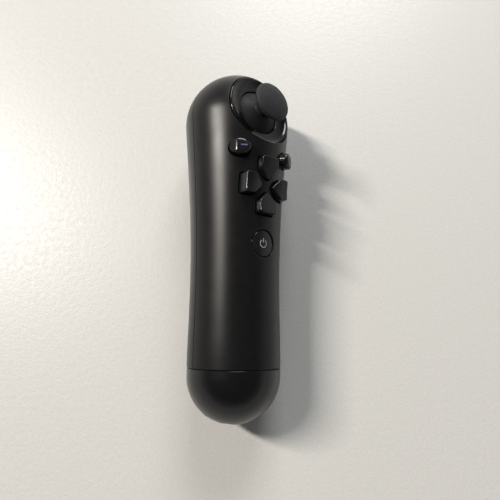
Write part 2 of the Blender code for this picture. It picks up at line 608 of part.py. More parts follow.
def inner_frame():
    core = piece("inner_frame", "frame", box((-11.5, -46.4, 3.6), (11.5, 32, 5.2)))
    for k, place in enumerate(SHELL_SCREWS):
        boolean(core, f"pillar_{k}", rod(2.4, -9.1, 4.4, at=place), "UNION")
        boolean(core, f"pilot_{k}", rod(0.95, -12, -1.5, at=place, sides=16))
        seat = SCREW_SEAT_Z - 0.02
        screw(f"shell_screw_{k + 1}", "dark_steel", place, -3.0, seat, seat - 1.4, 0.8, 1.85)
    for k, place in enumerate(BOARD_SCREWS):
        boolean(core, f"stud_{k}", rod(2.0, 4.4, 6.7, at=place), "UNION")
        boolean(core, f"stud_pilot_{k}", rod(0.9, 3, 9, at=place, sides=16))
        screw(f"board_screw_{k + 1}", "steel", place, 3.9, PARTS_ON_BOARD, PARTS_ON_BOARD + 1, 0.75, 1.9)
    boolean(core, "cable_slot", slab(rectangle(3.2, 5.4, 1.0), 2, 7, frame((0, 8.2, 0))))


def main_board():
    board = piece("main_board", "board", box((-11.5, -42, 7.0), (11.5, 33.5, BOARD_TOP)))
    for k, place in enumerate(BOARD_SCREWS):
        boolean(board, f"screw_hole_{k}", rod(1.1, 6, 10, at=place, sides=16))
    low = PARTS_ON_BOARD
    piece("processor_chip", "chip", box((-4, -24, low), (4, -16, low + 1.1)))
    piece("radio_shield", "steel", box((-6.5, -35, low), (5, -27, low + 1.9)))
    piece("motion_sensor", "chip", box((-6.5, -12.5, low), (-2.5, -8.5, low + 1)))
    piece("antenna", "natural", box((-10.5, -41, low), (-3.5, -38.6, low + 1.4)))
    piece("charging_plug", "natural", box((2.6, -42, low), (7.4, -38.6, low + 2.3)))

    membrane = piece("button_membrane", "silicone", box((-10, 4, low), (10, 33, low + 0.7)))
    domes = ((0, 7.2, 13.3), (-6.2, 0, 10.4), (0, -7.2, 13.3), (6.2, 0, 10.4))
    for k, (x, y, top) in enumerate(domes):
        boolean(membrane, f"key_dome_{k}", rod(2.1, low + 0.4, top, at=(x, PAD_Y + y)), "UNION")
    boolean(membrane, "post_hole", rod(1.6, 7, 11, at=(0, PAD_Y)))


def battery():
    floor = [(-9.33, -11.6), (9.33, -11.6), (11.1, -10.2), (-11.1, -10.2)]
    piece("battery_tray", "frame", slab(floor, -3.0, 39, SECTION))
    cell = rounded([(-10.8, -9.7), (10.8, -9.7), (10.8, -2.9), (-10.8, -2.9)], 1.2, 2)
    piece("battery_cell", "cell", slab(cell, -2.4, 38.4, SECTION))
    piece("battery_plug", "natural", box((-2.6, 7.1, 4.3), (2.6, 11.6, 6.7)))
    route = [(0, 2.9, -3.7), (0, 4.4, -3.0), (0, 5.4, 0), (0, 5.6, 4.0), (0, 6.5, 5.9)]
    wire("battery_cable", "red_wire", smooth_path(route), 0.55)


def charging_port():
    piece("charging_board", "board", box((-7.5, -62, -3.7), (7.5, -49.6, -2.7)))
    route = [(-50.6, -1.9), (-48.6, 0.5), (-47.6, 4.4), (-47.2, 8.2), (-45.2, 9.6), (-42.9, 9.6)]
    wire("charging_cable", "chip", smooth_path([(5, y, z) for y, z in route]), 0.55)
    shell = piece("port_shell", "steel", slab(rectangle(3.9, 2.1, 0.5), 58.2, 67.3, PORT))
    boolean(shell, "mouth", slab(rectangle(3.5, 1.7, 0.4), 58.8, 70, PORT))
    piece("port_tongue", "chip", slab(rectangle(2.7, 0.45), 59.1, 66.4, PORT))
    for side, name in ((-1, "left"), (1, "right")):
        stud = slab(rectangle(1.45, 0.5), 14.2, 17.15, contact_frame(side))
        piece(f"charging_contact_{name}", "gold", stud)
    eye = tail_frame(sum(STRAP_SLOTS) / 2)
    bar = frame(eye @ Vector((0, 0, 13.8)), (1, 0, 0), direction(eye))
    piece("strap_bar", "steel", rod(0.9, -4.3, 4.3, bar, sides=16))


front_shell()
rear_shell()
rating_label()
tail_cap()
stick_dish()
stick_module()
thumbstick()
direction_pad()
face_buttons()
home_button()
shoulder_button()
reset_button()
trigger()
trigger_mount()
inner_frame()
main_board()
battery()
charging_port()
bpy.context.view_layer.update()
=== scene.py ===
"""The looks of the motion controller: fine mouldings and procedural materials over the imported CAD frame.

Shapes are drawn in the wand's own frame in millimetres, as in part.py: +X to the right of the front face,
+Y from the tail to the stick end, +Z out of the front. WAND_TO_ROW takes them to the row frame, in metres.
"""

import math

import bmesh
import bpy
import numpy as np
from mathutils import Matrix, Vector


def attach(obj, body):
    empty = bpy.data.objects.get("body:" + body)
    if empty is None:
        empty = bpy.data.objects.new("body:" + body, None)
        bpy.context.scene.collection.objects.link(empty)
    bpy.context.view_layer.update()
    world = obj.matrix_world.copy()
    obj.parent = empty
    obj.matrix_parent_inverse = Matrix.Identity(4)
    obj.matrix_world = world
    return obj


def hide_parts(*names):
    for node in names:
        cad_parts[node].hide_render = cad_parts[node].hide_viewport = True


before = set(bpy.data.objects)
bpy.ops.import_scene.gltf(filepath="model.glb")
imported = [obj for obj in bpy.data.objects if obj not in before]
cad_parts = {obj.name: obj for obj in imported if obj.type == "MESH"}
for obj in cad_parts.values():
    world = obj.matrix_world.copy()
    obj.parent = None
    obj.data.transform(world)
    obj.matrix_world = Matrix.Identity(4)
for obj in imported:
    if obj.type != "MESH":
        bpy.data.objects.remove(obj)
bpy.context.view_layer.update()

# ---------------------------------------------------------------- dimensions, in millimetres, as in part.py
MM = 0.001
HEAD_R, HEAD_Y = 21.1, 47.9
TAIL_R, TAIL_Y = 17.6, -51.4
WALL, GAP = 1.8, 0.3
SEAM_Y, PARTING_Z = -48.75, -0.65
GRIP = [(-48.6, 17.62), (-43, 17.65), (-33, 17.48), (-20, 17.36), (-9, 17.46), (0, 17.74),
        (9, 18.18), (18, 18.76), (27, 19.44), (35, 20.08), (43, 20.8)]
HEAD_JOIN = (49.37, 21.05)  # where the grip's line runs into the ball

STICK_LEAN = math.radians(7.3)
DISH_R, DISH_HOLE_R = 14.45, 9.15
PIVOT_H, SKIRT_R = 5.0, 12.4
STICK_CAP_R, STICK_TOP_H = 7.75, 23.6

PAD_Y = 17.9
KEY_TIP, KEY_END, SIDE_KEY_END, KEY_HALF = 2.3, 10.7, 9.9, 3.85
KEY_HOLE_GAP = 0.35 + 0.1  # part.py's gap and 0.1 more, so that keys tilted both ways clear their holes

FACE_Y, FACE_ANGLE = 31.1, math.radians(33)
FACE_A, FACE_B, FACE_PROUD = 4.0, 3.1, 3.0
HOME_Y, HOME_R, HOME_SUNK = -3.6, 4.9, 0.3

SHOULDER_LEAN = math.radians(20)
SHOULDER_HALF, SHOULDER_PROUD = (7.0, 4.2), 1.3
HINGE_Y, HINGE_Z, PIN_R = 39.5, -13.0, 1.1
TRIGGER_HALF, TRIGGER_EDGE_R, TRIGGER_TIP_Y = 6.6, 8.0, 14.4
PORT_Z, PORT_LAND_Y = -0.2, -67.9
STRAP_SLOTS = (math.radians(64), math.radians(46))
SHELL_SCREWS = ((-9.5, 7.4), (9.5, 7.4), (0, -43.2))
SCREW_SEAT_Z, RESET_Y = -11.9, 6.2
LABEL_Y, LABEL_HALF, LABEL_SPAN = -22, (7.6, 14), (-38, -6)
CONTACT_LEAN, CONTACT_X, CONTACT_TOP = math.radians(10), 9.7, 17.15

ROLL = math.radians(38.4)
DROP = math.asin((HEAD_R - TAIL_R) / (HEAD_Y - TAIL_Y))
AXIS_H = HEAD_R - HEAD_Y * math.sin(DROP)
TRIGGER_EDGE_Z = -(AXIS_H + TRIGGER_TIP_Y * math.sin(DROP) - TRIGGER_EDGE_R) / math.cos(ROLL)
ORIGIN_SHIFT = Vector((-0.486, -0.158, 0.028))
WAND_AXIS = Vector((0, 0, AXIS_H)) + ORIGIN_SHIFT
WAND_TO_ROW = (Matrix.Scale(MM, 4) @ Matrix.Translation(WAND_AXIS)
               @ Matrix.Rotation(DROP, 4, "X") @ Matrix.Rotation(ROLL, 4, "Y"))

SIDES, ROD_SIDES = 160, 48  # facets round the wand, and round a bar
ROD_TURN = 0.13  # turns a bar's facets off the axes, in radians
EDGE = 0.3  # the round on a moulding's openings
CORNER_STEPS = 6
MOUTH_TURN, MOUTH_STEPS = math.radians(72), 4  # how far an opening's rounded edge turns
MOUTH_RISE, MOUTH_REACH = 0.375, 8  # how far a cutter goes on above the skin: first flared, then straight
SKIN_LOW, SKIN_HIGH, HALVINGS = 2.0, 60.0, 40  # the heights between which skin_height looks
SKIN_NEAR, SKIN_STEP = 0.02, 0.05


# ---------------------------------------------------------------- camera
# The photograph's view: almost straight down, displaced towards the tail, and a wide lens close by.
FOCAL_PX, FRAME_PX, SENSOR = 450, 500, 36
CAM_TIP, CAM_SPIN = math.radians(10.9) + DROP, math.radians(-0.47)
CAM_SHIFT = Vector((-5.81, 3.45, -179.3))  # the wand's middle as the camera sees it

camera_data = bpy.data.cameras.new("camera")
camera_data.sensor_width = SENSOR
camera_data.lens = SENSOR * FOCAL_PX / FRAME_PX
camera_data.clip_start = 0.005
camera = bpy.data.objects.new("camera", camera_data)
bpy.context.scene.collection.objects.link(camera)
row_to_view = Matrix.Rotation(CAM_SPIN, 3, "Z") @ Matrix.Rotation(-CAM_TIP, 3, "X")
view_to_row = row_to_view.transposed()
camera.matrix_world = Matrix.Translation((WAND_AXIS - view_to_row @ CAM_SHIFT) * MM) @ view_to_row.to_4x4()
bpy.context.scene.camera = camera


# ---------------------------------------------------------------- frames
def axes(origin=(0, 0, 0), z=(0, 0, 1), x=(1, 0, 0)):
    """A local frame: its z along z, and its x as near to x as it can be."""
    z = Vector(z).normalized()
    x = Vector(x)
    x = (x - z * x.dot(z)).normalized()
    return Matrix.Translation(origin) @ Matrix((x, z.cross(x), z)).transposed().to_4x4()


FRONT = axes()
AXIAL = axes(z=(0, 1, 0))
SIDE = axes(z=(1, 0, 0), x=(0, 1, 0))
SECTION = axes(z=(0, -1, 0))
STICK = axes((0, HEAD_Y, 0), (0, math.sin(STICK_LEAN), math.cos(STICK_LEAN)))
STICK_PIVOT = STICK @ Vector((0, 0, PIVOT_H))
SHOULDER = axes((0, HEAD_Y, 0), (0, math.sin(SHOULDER_LEAN), -math.cos(SHOULDER_LEAN)))
PORT = axes((0, 0, PORT_Z), (0, -1, 0))
HINGE = axes((0, HINGE_Y, HINGE_Z), (1, 0, 0), (0, 1, 0))


def face_axes(side):
    """The frame of a face button: side is -1 on the left and 1 on the right."""
    return axes((0, FACE_Y, 0), (side * math.sin(FACE_ANGLE), 0, math.cos(FACE_ANGLE)), (side, 0, 0))


def tail_axes(lean, side=0.0):
    """A frame that stands on the tail's dome, leaning to the wand's back, at side off its middle."""
    reach = math.sqrt(TAIL_R ** 2 - side ** 2)
    return axes((0, TAIL_Y, 0), (side, -reach * math.cos(lean), -reach * math.sin(lean)))


# ---------------------------------------------------------------- the wand's skin
stations = np.array([(TAIL_Y, TAIL_R), *GRIP, HEAD_JOIN])
slopes = np.gradient(stations[:, 1], stations[:, 0])
slopes[-1] = -(HEAD_JOIN[0] - HEAD_Y) / HEAD_JOIN[1]


def skin_r(y):
    """The wand's outside radius at y: a smooth line through the grip's stations, and a ball at each end."""
    if y > HEAD_JOIN[0]:
        return math.sqrt(max(HEAD_R ** 2 - (y - HEAD_Y) ** 2, 0))
    if y < TAIL_Y:
        return math.sqrt(max(TAIL_R ** 2 - (y - TAIL_Y) ** 2, 0))
    k = min(int(np.searchsorted(stations[:, 0], y, side="right")) - 1, len(stations) - 2)
    (y0, r0), (y1, r1) = stations[k], stations[k + 1]
    t, span = (y - y0) / (y1 - y0), y1 - y0
    return float(r0 * (1 + 2 * t) * (1 - t) ** 2 + r1 * t * t * (3 - 2 * t)
                 + slopes[k] * span * t * (1 - t) ** 2 - slopes[k + 1] * span * t * t * (1 - t))


def skin_height(place, u, v, lift=0.0):
    """How far along the frame's z the point (u, v) meets the skin, raised by lift."""
    low, high = SKIN_LOW, SKIN_HIGH
    for _ in range(HALVINGS):
        middle = (low + high) / 2
        p = place @ Vector((u, v, middle))
        inside = math.hypot(p.x, p.z) < skin_r(p.y) + lift
        low, high = (middle, high) if inside else (low, middle)
    return low


# ---------------------------------------------------------------- outlines
def rounded(corners, r):
    """The outline with each corner rounded off, r being how far back the round starts."""
    out = []
    for i, corner in enumerate(corners):
        corner = Vector(corner)
        start = corner + (Vector(corners[i - 1]) - corner).normalized() * r
        end = corner + (Vector(corners[(i + 1) % len(corners)]) - corner).normalized() * r
        for k in range(CORNER_STEPS + 1):
            t = k / CORNER_STEPS
            out.append(tuple(start * (1 - t) ** 2 + corner * (2 * t * (1 - t)) + end * t * t))
    return out


def rectangle(half_x, half_y, r=0.0):
    corners = [(-half_x, -half_y), (half_x, -half_y), (half_x, half_y), (-half_x, half_y)]
    return rounded(corners, r) if r else corners


def oval(a, b=None, steps=64):
    b = b or a
    angles = [2 * math.pi * k / steps for k in range(steps)]
    return [(a * math.cos(t), b * math.sin(t)) for t in angles]


def arc(r, centre, start, end, steps):
    angles = [math.radians(start + (end - start) * k / steps) for k in range(steps + 1)]
    return [(centre[0] + r * math.cos(a), centre[1] + r * math.sin(a)) for a in angles]


def offset(outline, amount):
    """The anticlockwise outline grown by amount."""
    points = [Vector(p) for p in outline]
    out = []
    for i, p in enumerate(points):
        before, after = (p - points[i - 1]).normalized(), (points[(i + 1) % len(points)] - p).normalized()
        normal = Vector((before.y + after.y, -before.x - after.x)).normalized()
        stretch = max(normal.dot(Vector((before.y, -before.x))), 0.5)
        out.append(tuple(p + normal * (amount / stretch)))
    return out


def resampled(outline, spacing):
    """The closed outline with points added, so that no two are further apart than spacing."""
    out = []
    for a, b in zip(outline, outline[1:] + outline[:1]):
        a, b = Vector(a), Vector(b)
        steps = max(1, math.ceil((b - a).length / spacing))
        out += [tuple(a.lerp(b, k / steps)) for k in range(steps)]
    return out


def key_outline(quarter, r=1.0):
    """A house-shaped key pointing at the pad's middle, turned by quarters anticlockwise from the top one."""
    tip, half, end = KEY_TIP, KEY_HALF, SIDE_KEY_END if quarter % 2 else KEY_END
    corners = [(0, tip), (half, tip + half), (half, end), (-half, end), (-half, tip + half)]
    turn = Matrix.Rotation(quarter * math.pi / 2, 2)
    return [tuple(turn @ Vector(p) + Vector((0, PAD_Y))) for p in rounded(corners, r)]


# ---------------------------------------------------------------- meshes, in millimetres in the wand's frame
def mesh_of(points, faces):
    mesh = bpy.data.meshes.new("shape")
    mesh.from_pydata([tuple(p) for p in points], [], faces)
    work = bmesh.new()
    work.from_mesh(mesh)
    bmesh.ops.remove_doubles(work, verts=work.verts, dist=1e-5)
    bmesh.ops.recalc_face_normals(work, faces=work.faces)
    work.to_mesh(mesh)
    work.free()
    return mesh


def loft(rings):
    """A closed body through rings of equal length, capped at both ends."""
    n = len(rings[0])
    faces = [(i * n + k, i * n + (k + 1) % n, (i + 1) * n + (k + 1) % n, (i + 1) * n + k)
             for i in range(len(rings) - 1) for k in range(n)]
    faces += [tuple(range(n)), tuple(range((len(rings) - 1) * n, len(rings) * n))]
    return mesh_of([p for ring in rings for p in ring], faces)


def turned(profile, place=AXIAL, sides=SIDES):
    """A (radius, height) profile swept round z: a closed loop, or a line from the axis to the axis."""
    closed = profile[0][0] > 0
    n = len(profile)
    angles = [2 * math.pi * k / sides for k in range(sides)]
    points = [place @ Vector((r * math.cos(a), r * math.sin(a), h)) for a in angles for r, h in profile]
    faces = []
    for k in range(sides):
        here, there = k * n, (k + 1) % sides * n
        for i in range(n if closed else n - 1):
            j = (i + 1) % n
            corners = [here + i, there + i, there + j, here + j]
            if profile[i][0] == 0:
                corners = [here + i, there + j, here + j]
            elif profile[j][0] == 0:
                corners = [here + i, there + i, here + j]
            faces.append(corners)
    return mesh_of(points, faces)


def slab(outline, low, high, place=FRONT):
    return loft([[place @ Vector((x, y, h)) for x, y in outline] for h in (low, high)])


def box(low, high, place=FRONT):
    outline = [(low[0], low[1]), (high[0], low[1]), (high[0], high[1]), (low[0], high[1])]
    return slab(outline, low[2], high[2], place)


def rod(r, low, high, place=FRONT, at=(0, 0)):
    angles = [ROD_TURN + 2 * math.pi * k / ROD_SIDES for k in range(ROD_SIDES)]
    ring = [(at[0] + r * math.cos(a), at[1] + r * math.sin(a)) for a in angles]
    return slab(ring, low, high, place)


def boolean(mesh, *others, how="DIFFERENCE"):
    """The mesh with each of the others cut from it, joined to it or intersected with it."""
    target = bpy.data.objects.new("target", mesh)
    bpy.context.scene.collection.objects.link(target)
    tools = []
    for other in others:
        tool = bpy.data.objects.new("tool", other)
        bpy.context.scene.collection.objects.link(tool)
        modifier = target.modifiers.new("boolean", "BOOLEAN")
        modifier.operation, modifier.solver, modifier.object = how, "EXACT", tool
        tools.append(tool)
    graph = bpy.context.evaluated_depsgraph_get()
    made = bpy.data.meshes.new_from_object(target.evaluated_get(graph))
    for old in [target, *tools]:
        data = old.data
        bpy.data.objects.remove(old)
        bpy.data.meshes.remove(data)
    return made


def mouth(outline, place, deep, round_r=EDGE, spacing=0.5):
    """A cutter for an opening in the skin: the outline, flared at the skin so that its edge is rounded."""
    outline = resampled(outline, spacing)

    def ring(grow, depth):
        return [place @ Vector((u, v, skin_height(place, u, v) - depth)) for u, v in offset(outline, grow)]

    rings = [[place @ Vector((u, v, deep)) for u, v in outline]]
    for k in range(MOUTH_STEPS + 1):
        a = MOUTH_TURN * k / MOUTH_STEPS
        rings.append(ring(round_r * (1 - math.cos(a)), round_r * (1 - math.sin(a))))
    widest = round_r * (1 - math.cos(MOUTH_TURN)) + MOUTH_RISE * math.tan(MOUTH_TURN)
    rings += [ring(widest, -MOUTH_RISE), ring(widest, -MOUTH_REACH)]
    return loft(rings)


def button_cap(outline, place, low, crown, round_r, spacing=0.4):
    """A key or button: the outline's walls, a rounded edge and a top.

    The top follows the skin, raised by crown. Where crown is a function, it gives the top's height at (u, v).
    """
    outline = resampled(outline, spacing)
    centre = Vector((sum(u for u, _ in outline), sum(v for _, v in outline))) / len(outline)
    top = crown if callable(crown) else lambda u, v: skin_height(place, u, v, crown)
    rings = [[place @ Vector((u, v, low)) for u, v in outline]]
    for k in range(7):
        a = math.pi / 2 * k / 6
        inset = offset(outline, -round_r * (1 - math.cos(a)))
        rings.append([place @ Vector((u, v, top(u, v) - round_r * (1 - math.sin(a)))) for u, v in inset])
    edge = offset(outline, -round_r - 0.1)
    rings.append([place @ Vector((u, v, top(u, v))) for u, v in edge])
    for k in range(1, 9):
        share = 1 - k / 9
        shrunk = [centre + (Vector(p) - centre) * share for p in edge]
        rings.append([place @ Vector((u, v, top(u, v))) for u, v in shrunk])
    return loft(rings)


def joined(*meshes):
    """Several bodies in one mesh, left as they are."""
    work = bmesh.new()
    for mesh in meshes:
        work.from_mesh(mesh)
        bpy.data.meshes.remove(mesh)
    made = bpy.data.meshes.new("shape")
    work.to_mesh(made)
    work.free()
    return made


def smooth_normals(mesh, angle, skin=False):
    """Smooth shading up to the angle. On the skin itself, normals come from its own smooth form."""
    mesh.shade_smooth()
    mesh.set_sharp_from_angle(angle=math.radians(angle))
    if not skin:
        return
    normals = [Vector(n.vector) for n in mesh.corner_normals]
    exact = {}
    for vertex in mesh.vertices:
        x, y, z = vertex.co
        r = skin_r(y)
        if abs(math.hypot(x, z) - r) < SKIN_NEAR and r > 1:
            slope = (skin_r(y + SKIN_STEP) - skin_r(y - SKIN_STEP)) / (2 * SKIN_STEP)
            exact[vertex.index] = Vector((x / r, -slope, z / r)).normalized()
    for face in mesh.polygons:
        if all(v in exact for v in face.vertices):
            for loop, v in zip(face.loop_indices, face.vertices):
                normals[loop] = exact[v]
    mesh.normals_split_custom_set(normals)


def piece(name, body, look, mesh, replaces=(), angle=35, skin=False):
    """A visible piece of the wand that stands for CAD nodes and moves with a CAD body."""
    smooth_normals(mesh, angle, skin)
    mesh.transform(WAND_TO_ROW)
    mesh.name = name
    made = bpy.data.objects.new(name, mesh)
    bpy.context.scene.collection.objects.link(made)
    mesh.materials.clear()
    mesh.materials.append(look)
    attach(made, body)
    if replaces:
        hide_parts(*replaces)
    return made


# ---------------------------------------------------------------- materials
def new_material(name):
    made = bpy.data.materials.new(name)
    made.use_nodes = True
    tree = made.node_tree
    return made, tree, tree.nodes["Principled BSDF"]


def noise(tree, size_mm, detail=2.0, roughness=0.5):
    """A noise whose features are about size_mm across, fixed to the piece."""
    place = tree.nodes.new("ShaderNodeTexCoord")
    texture = tree.nodes.new("ShaderNodeTexNoise")
    texture.inputs["Scale"].default_value = 1000 / size_mm
    texture.inputs["Detail"].default_value = detail
    texture.inputs["Roughness"].default_value = roughness
    tree.links.new(place.outputs["Object"], texture.inputs["Vector"])
    return texture.outputs["Fac"]


def spread(tree, value, low, high, from_low=0.3, from_high=0.7):
    """The value mapped from the noise's usual range to low and high."""
    node = tree.nodes.new("ShaderNodeMapRange")
    node.inputs["From Min"].default_value = from_low
    node.inputs["From Max"].default_value = from_high
    node.inputs["To Min"].default_value = low
    node.inputs["To Max"].default_value = high
    tree.links.new(value, node.inputs["Value"])
    return node.outputs["Result"]


def blend_colours(tree, factor, dark, light):
    mix = tree.nodes.new("ShaderNodeMix")
    mix.data_type = "RGBA"
    mix.inputs[6].default_value = (*dark, 1)
    mix.inputs[7].default_value = (*light, 1)
    tree.links.new(factor, mix.inputs[0])
    return mix.outputs[2]


def add_bump(tree, shader, heights, distance_mm):
    """Bumps from several heights, one on another."""
    normal = None
    for height, depth in zip(heights, distance_mm):
        bump = tree.nodes.new("ShaderNodeBump")
        bump.inputs["Strength"].default_value = 1
        bump.inputs["Distance"].default_value = depth * MM
        tree.links.new(height, bump.inputs["Height"])
        if normal:
            tree.links.new(normal, bump.inputs["Normal"])
        normal = bump.outputs["Normal"]
    tree.links.new(normal, shader.inputs["Normal"])


SMUDGE_MM, SPECK_MM = 14, 14 / 5


def moulded(name, dark, light, rough, grain_mm, grain_depth, specular=0.5, sheen=0.0):
    """A moulded surface: fine grain, smudges that change its gloss, and specks that change its colour."""
    made, tree, shader = new_material(name)
    smudge = noise(tree, SMUDGE_MM, 4, 0.6)
    tree.links.new(spread(tree, smudge, *rough), shader.inputs["Roughness"])
    speck = noise(tree, SPECK_MM, 5, 0.65)
    tree.links.new(blend_colours(tree, spread(tree, speck, 0, 1), dark, light), shader.inputs["Base Color"])
    add_bump(tree, shader, [noise(tree, grain_mm, 3, 0.6), noise(tree, grain_mm * 9, 1)],
             [grain_depth, grain_depth * 1.5])
    shader.inputs["Specular IOR Level"].default_value = specular
    shader.inputs["Sheen Weight"].default_value = sheen
    return made


def brushed(name, dark, light, rough):
    """Metal with fine lines along y."""
    size_mm, stretch = 0.5, 12
    made, tree, shader = new_material(name)
    place = tree.nodes.new("ShaderNodeTexCoord")
    mapping = tree.nodes.new("ShaderNodeMapping")
    mapping.inputs["Scale"].default_value = (1000 / size_mm, 1000 / size_mm / stretch, 1000 / size_mm)
    texture = tree.nodes.new("ShaderNodeTexNoise")
    texture.inputs["Scale"].default_value = 1
    texture.inputs["Detail"].default_value = 3
    tree.links.new(place.outputs["Object"], mapping.inputs["Vector"])
    tree.links.new(mapping.outputs["Vector"], texture.inputs["Vector"])
    lines = texture.outputs["Fac"]
    tree.links.new(spread(tree, lines, *rough), shader.inputs["Roughness"])
    tree.links.new(blend_colours(tree, spread(tree, lines, 0, 1), dark, light), shader.inputs["Base Color"])
    add_bump(tree, shader, [lines], [0.01])
    shader.inputs["Metallic"].default_value = 1
    return made


def circuit(name):
    """Solder-masked board: tracks as a fine brick pattern, a little lighter than the mask."""
    made, tree, shader = new_material(name)
    place = tree.nodes.new("ShaderNodeTexCoord")
    tracks = tree.nodes.new("ShaderNodeTexBrick")
    tracks.inputs["Scale"].default_value = 300
    tracks.inputs["Mortar Size"].default_value = 0.06
    tracks.inputs["Color1"].default_value = (0.006, 0.07, 0.028, 1)
    tracks.inputs["Color2"].default_value = (0.007, 0.085, 0.034, 1)
    tracks.inputs["Mortar"].default_value = (0.02, 0.16, 0.06, 1)
    tree.links.new(place.outputs["Object"], tracks.inputs["Vector"])
    tree.links.new(tracks.outputs["Color"], shader.inputs["Base Color"])
    tree.links.new(spread(tree, noise(tree, 3), 0.25, 0.4), shader.inputs["Roughness"])
    add_bump(tree, shader, [tracks.outputs["Fac"]], [0.03])
    return made


BLACK, SOFT_BLACK = (0.004, 0.004, 0.0043), (0.0065, 0.0063, 0.0063)
MOULDED = {  # the arguments of moulded() after the name
    "body_plastic": (BLACK, SOFT_BLACK, (0.31, 0.36), 0.22, 0.005, 0.3),
    "cap_plastic": ((0.002, 0.002, 0.0022), (0.004, 0.004, 0.0042), (0.2, 0.28), 0.3, 0.002),
    "gloss_black": ((0.003, 0.003, 0.003), (0.005, 0.005, 0.005), (0.1, 0.15), 0.6, 0.001, 0.4),
    "key_plastic": ((0.006, 0.006, 0.007), (0.009, 0.009, 0.0102), (0.17, 0.23), 0.2, 0.002, 0.42),
    "stick_plastic": ((0.014, 0.014, 0.014), (0.02, 0.02, 0.02), (0.44, 0.52), 0.2, 0.004, 0.1),
    "stick_rubber": ((0.009, 0.009, 0.011), (0.015, 0.015, 0.0178), (0.62, 0.75), 0.35, 0.03, 0.35, 0.05),
    "rubber": ((0.02, 0.02, 0.02), (0.035, 0.035, 0.035), (0.7, 0.85), 0.3, 0.02),
    "silicone": ((0.35, 0.36, 0.36), (0.42, 0.43, 0.43), (0.5, 0.6), 0.5, 0.01),
    "nylon": ((0.6, 0.58, 0.52), (0.68, 0.66, 0.6), (0.45, 0.55), 0.4, 0.01),
    "frame_plastic": ((0.05, 0.05, 0.055), (0.07, 0.07, 0.075), (0.5, 0.6), 0.4, 0.01),
    "chip_epoxy": ((0.014, 0.014, 0.015), (0.022, 0.022, 0.023), (0.45, 0.55), 0.15, 0.01),
    "red_wire": ((0.3, 0.02, 0.02), (0.4, 0.03, 0.025), (0.4, 0.5), 0.4, 0.01),
    "label_film": ((0.3, 0.3, 0.31), (0.36, 0.36, 0.37), (0.38, 0.46), 0.6, 0.003),
    "cell_wrap": ((0.1, 0.13, 0.2), (0.13, 0.16, 0.24), (0.25, 0.4), 0.8, 0.01),
    "blue_ink": ((0.05, 0.07, 0.22), (0.07, 0.1, 0.28), (0.4, 0.5), 0.2, 0.002),
    "red_ink": ((0.2, 0.02, 0.02), (0.28, 0.035, 0.03), (0.4, 0.5), 0.2, 0.002),
    "grey_ink": ((0.3, 0.3, 0.31), (0.38, 0.38, 0.39), (0.45, 0.55), 0.2, 0.002),
}
BRUSHED = {
    "steel": ((0.42, 0.42, 0.43), (0.58, 0.58, 0.6), (0.22, 0.36)),
    "dark_steel": ((0.08, 0.08, 0.085), (0.14, 0.14, 0.15), (0.3, 0.45)),
    "gold": ((0.62, 0.45, 0.18), (0.78, 0.58, 0.28), (0.18, 0.3)),
}
LOOKS = {name: moulded(name, *settings) for name, settings in MOULDED.items()}
LOOKS.update((name, brushed(name, *settings)) for name, settings in BRUSHED.items())
LOOKS["circuit_board"] = circuit("circuit_board")

INSIDE = {
    "steel": ["stick_module_housing", "stick_click_switch", "dpad_pivot_ball", "radio_shield",
              "board_screw_1", "board_screw_2", "trigger_hinge_pin", "trigger_return_spring"],
    "nylon": ["stick_yoke", "stick_pivot_block", "dpad_pivot_post", "antenna", "charging_plug",
              "battery_plug"],
    "frame_plastic": ["stick_sensor_tilt", "stick_sensor_swing", "inner_frame", "battery_tray",
                      "trigger_bracket"],
    "circuit_board": ["stick_board", "rear_board", "main_board", "charging_board"],
    "chip_epoxy": ["home_switch", "shoulder_switch", "reset_switch", "processor_chip", "motion_sensor",
                   "charging_cable", "port_tongue"],
    "silicone": ["button_membrane", "left_button_dome", "right_button_dome"],
    "rubber": ["trigger_stop_pad"],
    "red_wire": ["battery_cable"],
    "cell_wrap": ["battery_cell"],
}
for look, nodes in INSIDE.items():
    for node in nodes:
        for material_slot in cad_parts[node].material_slots:
            material_slot.material = LOOKS[look]


# ---------------------------------------------------------------- shells
def hollow_grip():
    """Both shells as one turned body: the skin from the seam to the head's pole, and the wall inside."""
    seam = SEAM_Y + GAP / 2
    round_r = 0.15
    lip = arc(round_r, (skin_r(seam) - round_r, seam + round_r), -90, 0, 3)
    rows = [seam + 1 + (HEAD_JOIN[0] - seam - 1) * k / 84 for k in range(85)]
    outer = lip + [(skin_r(y), y) for y in rows]
    join_angle = math.degrees(math.asin((HEAD_JOIN[0] - HEAD_Y) / HEAD_R))
    outer += arc(HEAD_R, (0, HEAD_Y), join_angle, 90, 26)[1:-1] + [(0, HEAD_Y + HEAD_R)]
    inner = [(r - WALL, y) for y, r in GRIP[::2]] + arc(HEAD_R - WALL, (0, HEAD_Y), 4, 90, 10)[:-1]
    return turned(outer[::-1] + inner + [(0, HEAD_Y + HEAD_R - WALL)])


def band(start, end, inner, outer, steps=40, sides=SIDES):
    """A ring that follows the skin from start to end, between two offsets from it."""
    rows = [start + (end - start) * k / steps for k in range(steps + 1)]
    return turned([(skin_r(y) + outer, y) for y in rows] + [(skin_r(y) + inner, y) for y in reversed(rows)],
                  sides=sides)


REAR = axes(z=(0, 0, -1))  # its y runs towards the tail


